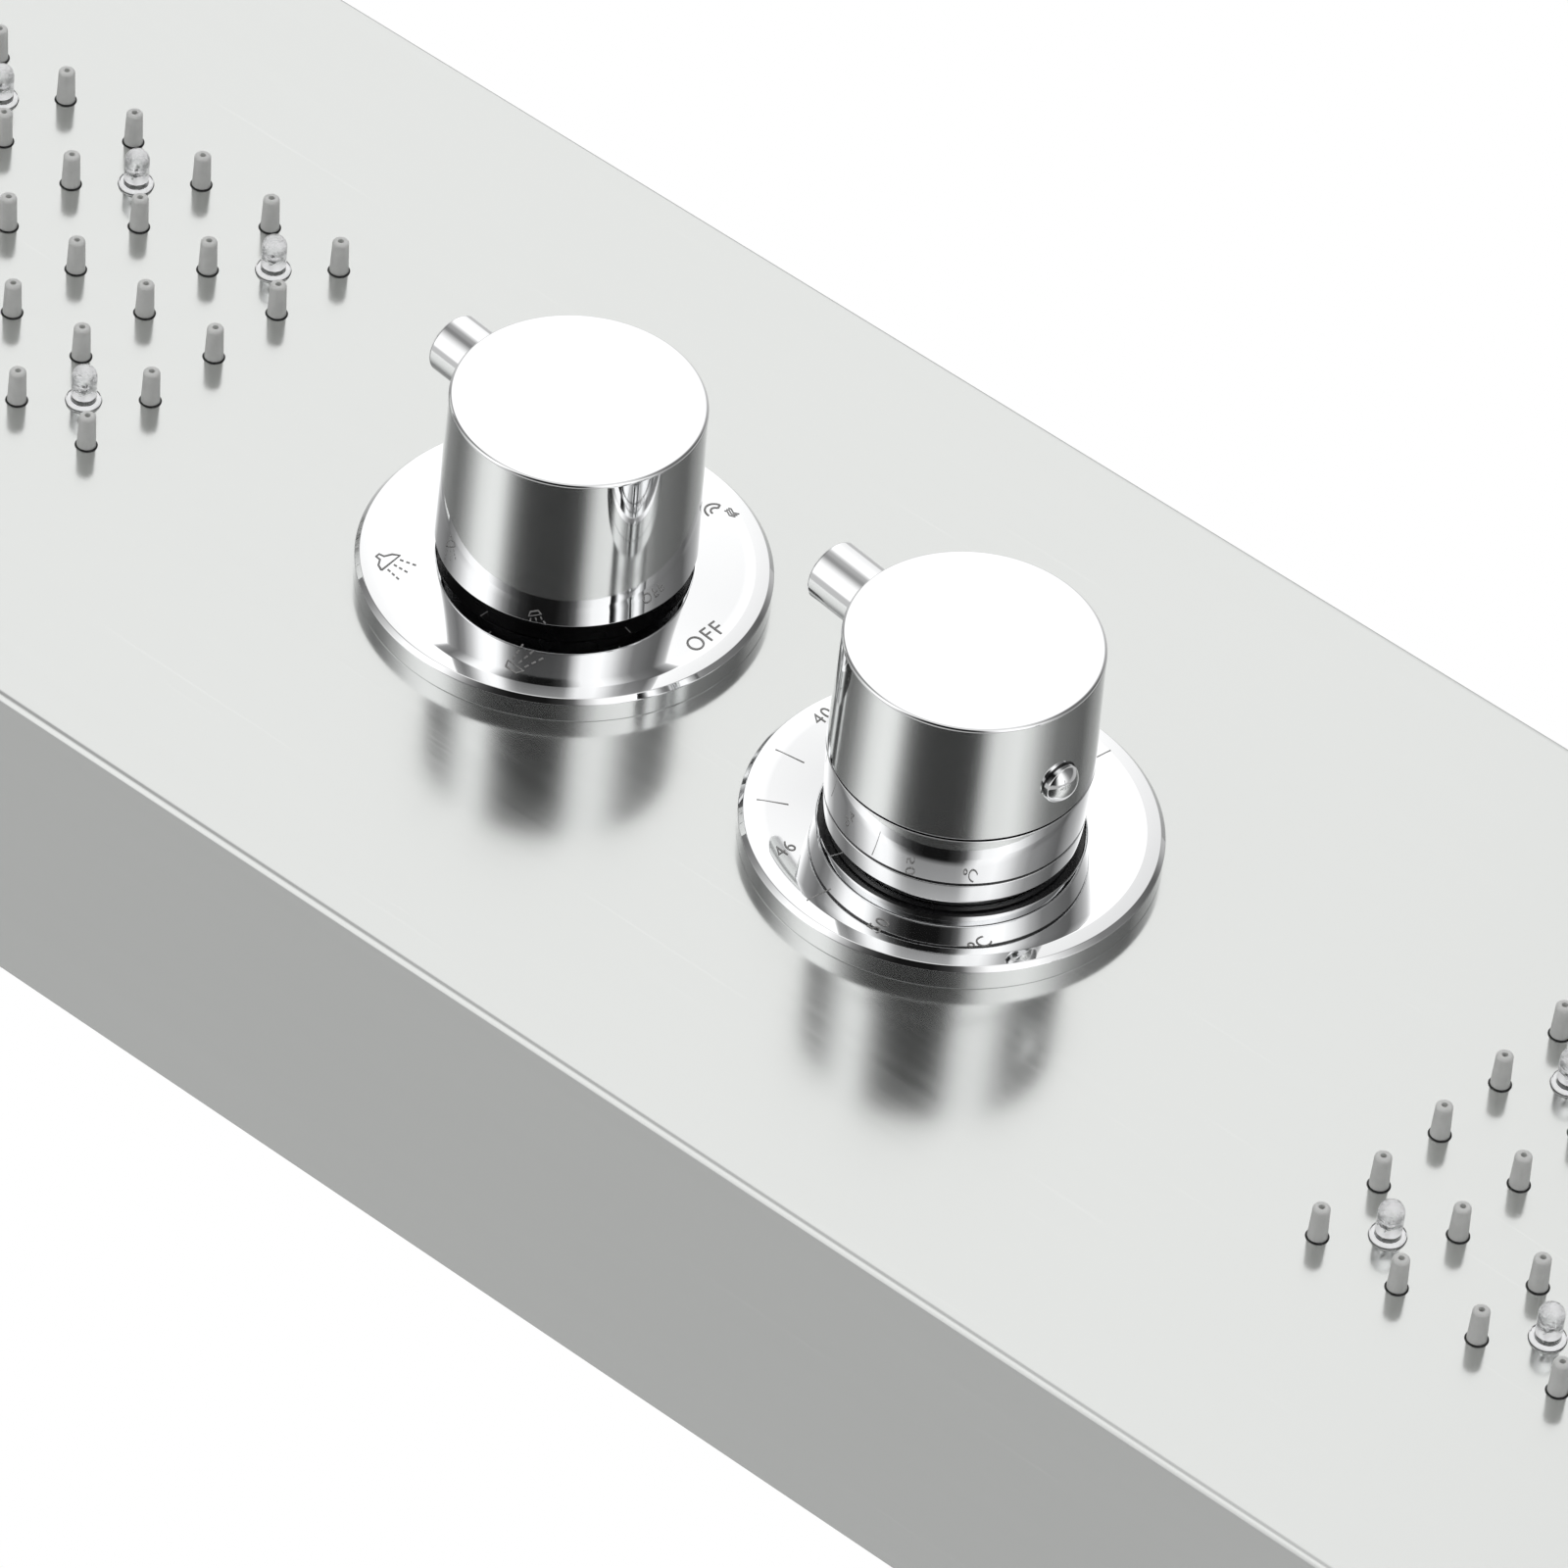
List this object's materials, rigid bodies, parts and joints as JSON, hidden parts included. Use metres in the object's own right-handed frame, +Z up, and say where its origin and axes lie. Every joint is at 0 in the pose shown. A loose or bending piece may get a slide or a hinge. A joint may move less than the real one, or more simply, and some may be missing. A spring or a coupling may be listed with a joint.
{
  "type": "shower panel column",
  "caption": "Wall-hung brushed steel shower column with a diverter knob, a thermostat knob with stop button, body jets, rain head, spout and hose outlet.",
  "frame": {"origin": "midway between the upper wall bracket's two screw holes, on the wall face", "axes": "+Z up along the column, -Y out of the front face, +Y into the wall, +X to the right seen from the front"},
  "size_m": [0.2, 0.47, 1.314],
  "materials": {
    "brushed_steel": "brushed along the length, satin",
    "chrome": "polished",
    "bracket_steel": "plain cut sheet",
    "brass": "turned, unplated",
    "black_plastic": "smooth, half gloss",
    "valve_plastic": "moulded",
    "silicone": "soft matt, slightly translucent",
    "seal_rubber": "foam",
    "box_plastic": "moulded white",
    "clear_lens": "clear, polished",
    "board": "lacquered circuit board",
    "spring_steel": "drawn wire"
  },
  "bodies": {
    "column": {"front_casing": "brushed_steel", "top_end_cap": "brushed_steel", "bottom_end_cap": "brushed_steel", "seal_strips": "seal_rubber", "upper_wall_bracket": "bracket_steel", "lower_wall_bracket": "bracket_steel", "upper_cross_bar": "bracket_steel", "lower_cross_bar": "bracket_steel", "diverter_plate": "chrome", "diverter_gasket": "seal_rubber", "panel_nuts": "brass", "diverter_collar": "black_plastic", "diverter_cartridge": "valve_plastic", "cartridge_nuts": "brass", "diverter_body": "brass", "thermostat_plate": "chrome", "thermostat_gasket": "seal_rubber", "thermostat_collar": "black_plastic", "thermostat_cartridge": "valve_plastic", "mixer_body": "brass", "inlet_filters": "valve_plastic", "inlet_check_valves": "valve_plastic", "upper_nozzle_mat": "silicone", "lower_nozzle_mat": "silicone", "rain_nozzle_mat": "silicone", "upper_water_box": "box_plastic", "lower_water_box": "box_plastic", "rain_water_box": "box_plastic", "upper_leds": "clear_lens", "lower_leds": "clear_lens", "upper_led_board": "board", "lower_led_board": "board", "led_power_box": "black_plastic", "water_box_nuts": "bracket_steel", "water_box_studs": "bracket_steel", "mixer_pipe": "bracket_steel", "jet_pipe": "bracket_steel", "rain_pipe": "bracket_steel", "spout_pipe": "bracket_steel", "hand_shower_pipe": "bracket_steel", "pipe_nuts": "brass", "rain_head_shell": "brushed_steel", "rain_head_plate": "brushed_steel", "rain_head_screws": "bracket_steel", "tub_spout": "chrome", "spout_flange": "chrome", "spout_aerator": "valve_plastic", "spout_nut": "brass", "spout_elbow": "brass", "hand_shower_outlet": "chrome"},
    "diverter_handle": {"diverter_knob": "chrome", "diverter_lever": "chrome", "diverter_spindle": "brass"},
    "thermostat_handle": {"thermostat_knob": "chrome", "thermostat_sleeve": "chrome", "thermostat_lever": "chrome", "thermostat_spindle": "brass", "stop_button_spring": "spring_steel"},
    "safety_button": {"stop_button": "chrome"}
  },
  "joints": [
    {"name": "diverter_turn", "type": "hinge", "parent": "column", "child": "diverter_handle", "pos_m": [0, -0.1, -0.69], "axis": [0, -1, 0], "range_deg": [-132, 132]},
    {"name": "thermostat_turn", "type": "hinge", "parent": "column", "child": "thermostat_handle", "pos_m": [-0.0032, -0.1, -0.7884], "axis": [0, -1, 0], "range_deg": [-98, 112]},
    {"name": "stop_button_press", "type": "slide", "parent": "thermostat_handle", "child": "safety_button", "axis": [0.1219, 0, 0.9925], "range_m": [0, 0.0025], "stiffness_N_per_m": 400, "springref_m": -0.001, "deforming": ["stop_button_spring"]}
  ]
}
